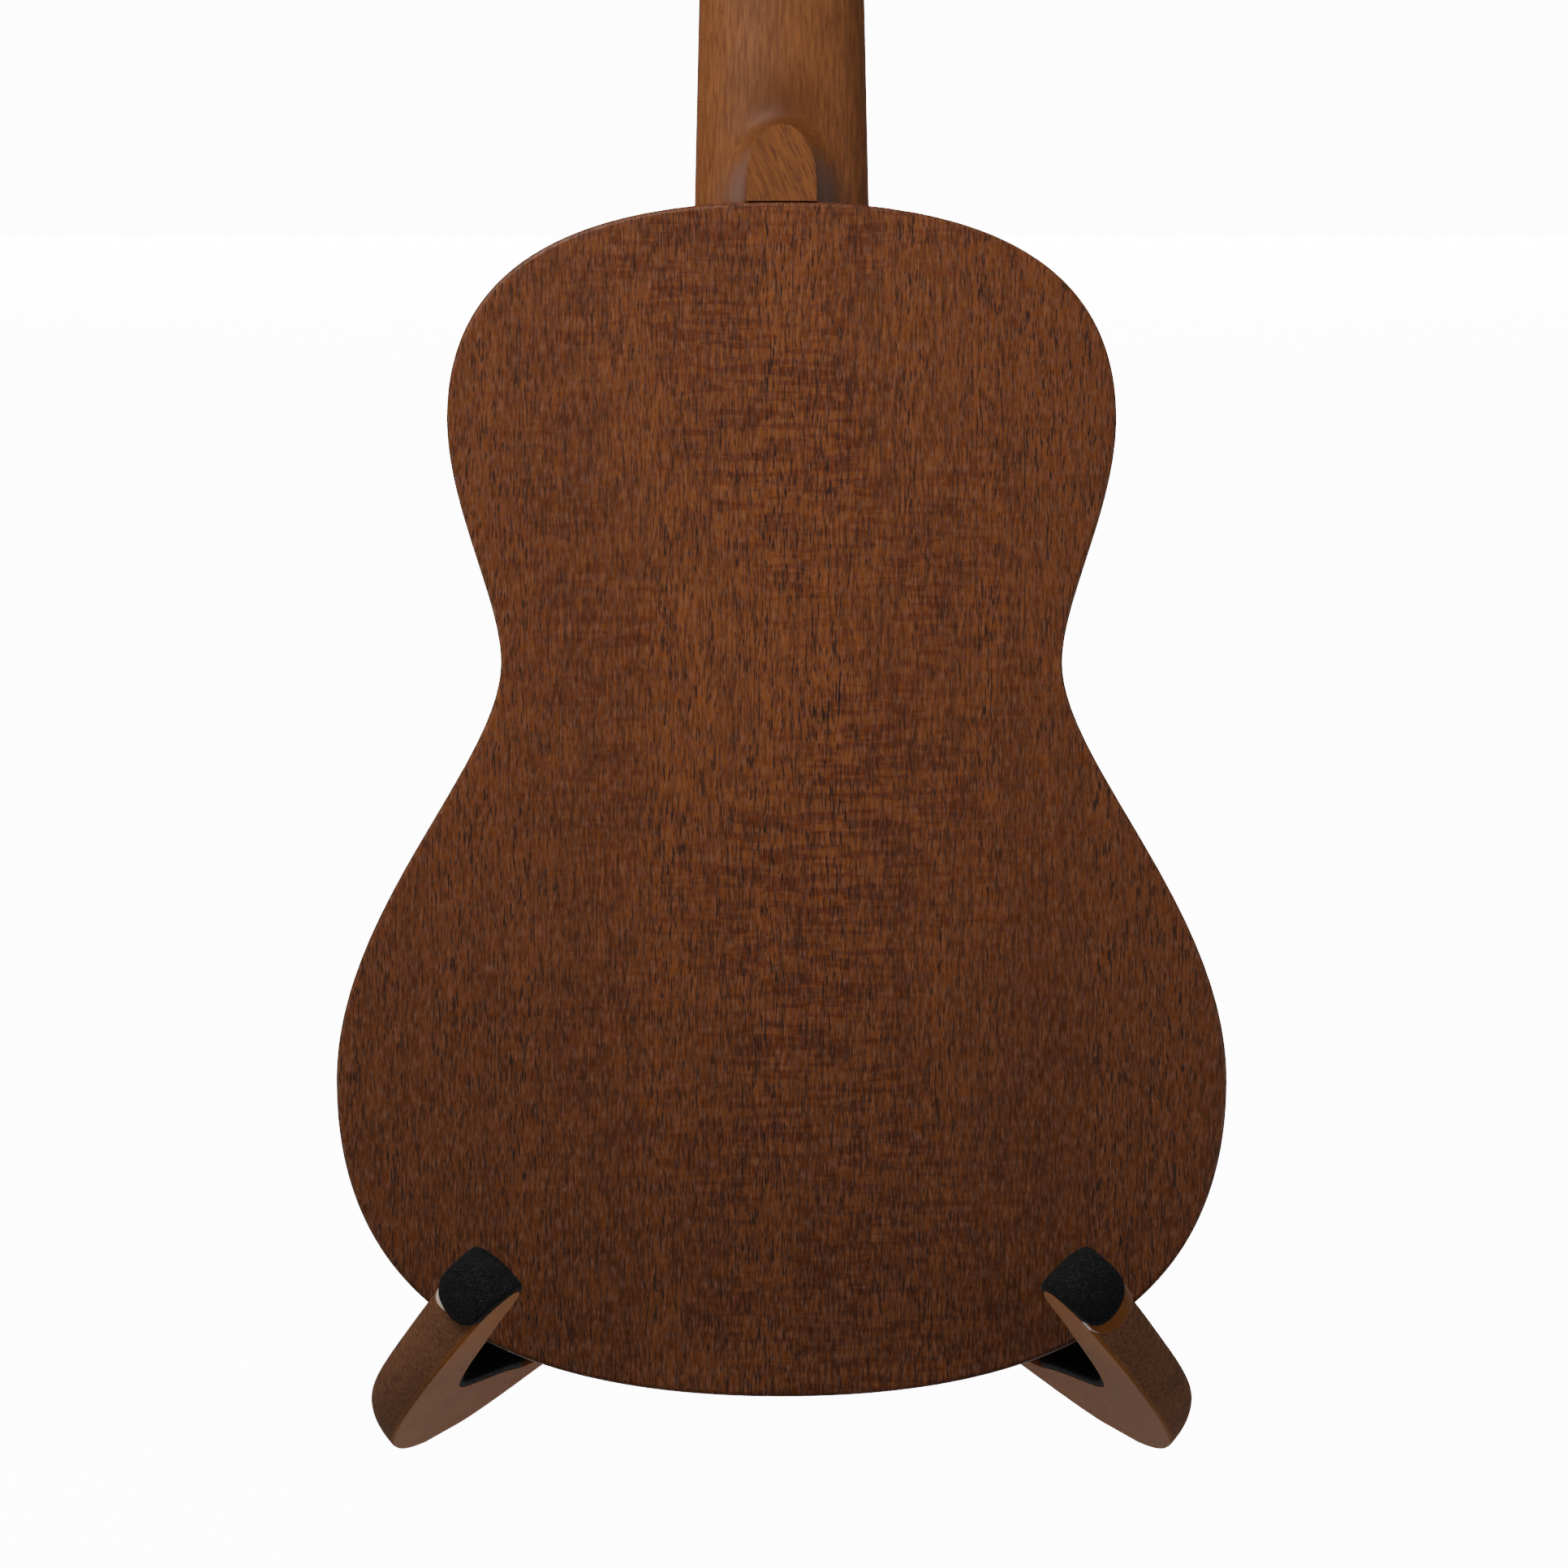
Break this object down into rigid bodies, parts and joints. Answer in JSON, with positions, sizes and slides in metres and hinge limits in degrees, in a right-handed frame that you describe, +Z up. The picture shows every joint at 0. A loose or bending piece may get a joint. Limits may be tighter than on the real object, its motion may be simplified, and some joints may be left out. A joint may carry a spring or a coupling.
{
  "type": "guitar on stand",
  "caption": "Small flat-topped acoustic guitar with nylon strings, standing back to front in a cross-lapped wooden stand with foam-lined crooks.",
  "frame": {"origin": "centre of the whole in plan, on the surface that the stand stands on", "axes": "+Z up, +Y from the instrument's back towards its soundboard, +X to the right seen from behind the instrument"},
  "size_m": [0.222, 0.2402, 0.6755],
  "materials": {
    "back_wood": "open pore satin mahogany laminate",
    "top_wood": "open pore satin mahogany",
    "side_wood": "open pore satin mahogany",
    "inner_wood": "bare light timber",
    "neck_wood": "satin",
    "rosewood": "oiled",
    "cap_wood": "satin",
    "inlay": "polished",
    "fret_metal": "polished",
    "bone": "satin",
    "string_nylon": "clear",
    "tuner_metal": "polished",
    "button_plastic": "polished",
    "stand_wood": "satin lacquer",
    "pad_foam": "matt foam"
  },
  "bodies": {
    "stand_left": {"board_left": "stand_wood", "cradle_pad_left": "pad_foam", "backrest_pad_left": "pad_foam"},
    "stand_right": {"board_right": "stand_wood", "cradle_pad_right": "pad_foam", "backrest_pad_right": "pad_foam"},
    "instrument": {"body_back": "back_wood", "side_bass": "side_wood", "side_treble": "side_wood", "soundboard": "top_wood", "rosette": "inlay", "back_braces": "inner_wood", "top_braces": "inner_wood", "lining_back": "inner_wood", "lining_front": "inner_wood", "neck_block": "inner_wood", "tail_block": "inner_wood", "bridge_patch": "inner_wood", "neck": "neck_wood", "heel_cap": "cap_wood", "head_veneer": "rosewood", "fingerboard": "rosewood", "frets": "fret_metal", "position_dots": "inlay", "nut": "bone", "bridge": "rosewood", "saddle": "bone", "string_a": "string_nylon", "string_e": "string_nylon", "string_c": "string_nylon", "string_g": "string_nylon", "tuner_plates": "tuner_metal", "tuner_bushings": "tuner_metal", "tuner_screws": "tuner_metal"},
    "post_bass_near_body": {"post_bass_near": "tuner_metal", "gear_bass_near": "tuner_metal"},
    "key_bass_near_body": {"worm_bass_near": "tuner_metal", "button_bass_near": "button_plastic"},
    "post_bass_far_body": {"post_bass_far": "tuner_metal", "gear_bass_far": "tuner_metal"},
    "key_bass_far_body": {"worm_bass_far": "tuner_metal", "button_bass_far": "button_plastic"},
    "post_treble_near_body": {"post_treble_near": "tuner_metal", "gear_treble_near": "tuner_metal"},
    "key_treble_near_body": {"worm_treble_near": "tuner_metal", "button_treble_near": "button_plastic"},
    "post_treble_far_body": {"post_treble_far": "tuner_metal", "gear_treble_far": "tuner_metal"},
    "key_treble_far_body": {"worm_treble_far": "tuner_metal", "button_treble_far": "button_plastic"}
  },
  "joints": [
    {"name": "instrument_lift", "type": "slide", "parent": "stand_left", "child": "instrument", "axis": [0, -0.5, 0.866], "range_m": [0, 0.3]},
    {"name": "board_slide", "type": "slide", "parent": "stand_left", "child": "stand_right", "axis": [0, -0.8746, 0.4848], "range_m": [0, 0.06]},
    {"name": "post_bass_near_turn", "type": "hinge", "parent": "instrument", "child": "post_bass_near_body", "pos_m": [0.019, 0.10809, 0.57511], "axis": [0, 0.9994, -0.0349], "continuous": true},
    {"name": "key_bass_near_turn", "type": "hinge", "parent": "instrument", "child": "key_bass_near_body", "pos_m": [0, 0.09177, 0.58353], "axis": [1, 0, 0], "continuous": true},
    {"name": "post_bass_far_turn", "type": "hinge", "parent": "instrument", "child": "post_bass_far_body", "pos_m": [0.019, 0.10983, 0.62508], "axis": [0, 0.9994, -0.0349], "continuous": true},
    {"name": "key_bass_far_turn", "type": "hinge", "parent": "instrument", "child": "key_bass_far_body", "pos_m": [0, 0.09351, 0.6335], "axis": [1, 0, 0], "continuous": true},
    {"name": "post_treble_near_turn", "type": "hinge", "parent": "instrument", "child": "post_treble_near_body", "pos_m": [-0.019, 0.10809, 0.57511], "axis": [0, 0.9994, -0.0349], "continuous": true},
    {"name": "key_treble_near_turn", "type": "hinge", "parent": "instrument", "child": "key_treble_near_body", "pos_m": [0, 0.09177, 0.58353], "axis": [1, 0, 0], "continuous": true},
    {"name": "post_treble_far_turn", "type": "hinge", "parent": "instrument", "child": "post_treble_far_body", "pos_m": [-0.019, 0.10983, 0.62508], "axis": [0, 0.9994, -0.0349], "continuous": true},
    {"name": "key_treble_far_turn", "type": "hinge", "parent": "instrument", "child": "key_treble_far_body", "pos_m": [0, 0.09351, 0.6335], "axis": [1, 0, 0], "continuous": true}
  ],
  "couplings": [
    {"joint": "board_slide", "follows": "instrument_lift", "ratio": 0.2},
    {"joint": "post_bass_near_turn", "follows": "key_bass_near_turn", "ratio": 0.071429},
    {"joint": "post_bass_far_turn", "follows": "key_bass_far_turn", "ratio": 0.071429},
    {"joint": "post_treble_near_turn", "follows": "key_treble_near_turn", "ratio": 0.071429},
    {"joint": "post_treble_far_turn", "follows": "key_treble_far_turn", "ratio": 0.071429}
  ]
}
